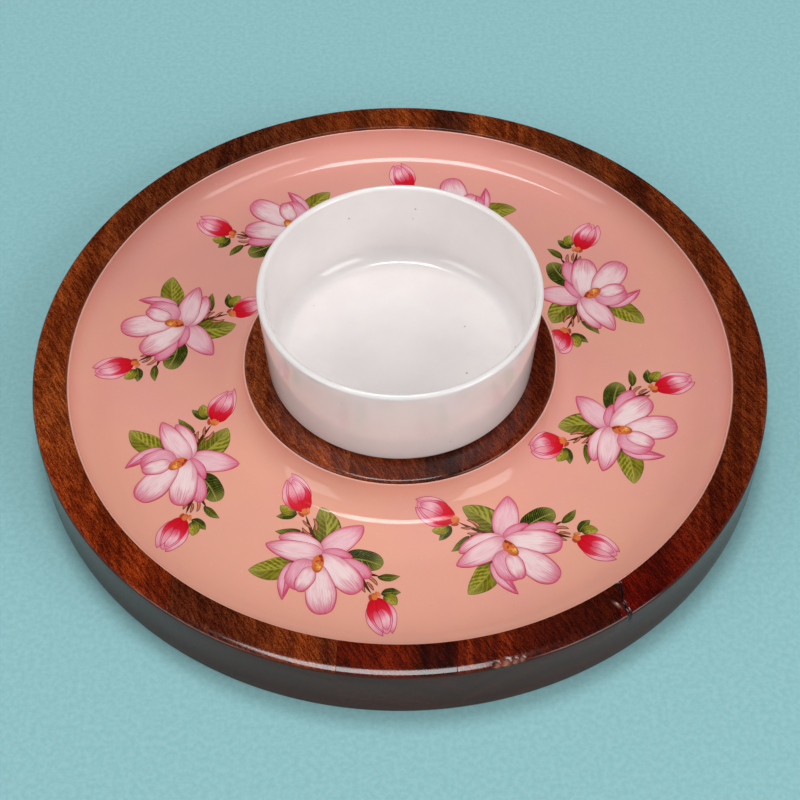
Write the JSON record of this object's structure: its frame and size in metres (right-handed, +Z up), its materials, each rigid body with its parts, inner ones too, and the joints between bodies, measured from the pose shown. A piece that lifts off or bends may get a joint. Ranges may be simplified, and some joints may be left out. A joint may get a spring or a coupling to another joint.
{
  "type": "chip and dip server",
  "caption": "Round turned wooden server with an enamelled ring trough printed with magnolia sprays, and a loose glazed dip bowl standing on its central hub.",
  "frame": {"origin": "centre of the tray's flat underside, on the surface that the server stands on", "axes": "+Z up through the hub and the dip bowl; +X to the right and +Y to the back when the boards' glue lines run away from the viewer"},
  "size_m": [0.306, 0.306, 0.07],
  "materials": {
    "wood": "dark reddish-brown hardwood under a glossy clear lacquer",
    "enamel": "glossy peach-pink enamel",
    "print": "printed film under the same gloss as the enamel",
    "ceramic": "glossy off-white glaze with fine specks"
  },
  "bodies": {
    "tray": {"left_edge_board": "wood", "left_board": "wood", "middle_board": "wood", "right_board": "wood", "right_edge_board": "wood", "enamel_lining": "enamel", "magnolia_spray_1": "print", "magnolia_spray_2": "print", "magnolia_spray_3": "print", "magnolia_spray_4": "print", "magnolia_spray_5": "print", "magnolia_spray_6": "print", "magnolia_spray_7": "print", "magnolia_spray_8": "print"},
    "bowl": {"dip_bowl": "ceramic"}
  },
  "joints": [
    {"name": "bowl_lift", "type": "slide", "parent": "tray", "child": "bowl", "axis": [0, 0, 1], "range_m": [0, 0.1]}
  ]
}
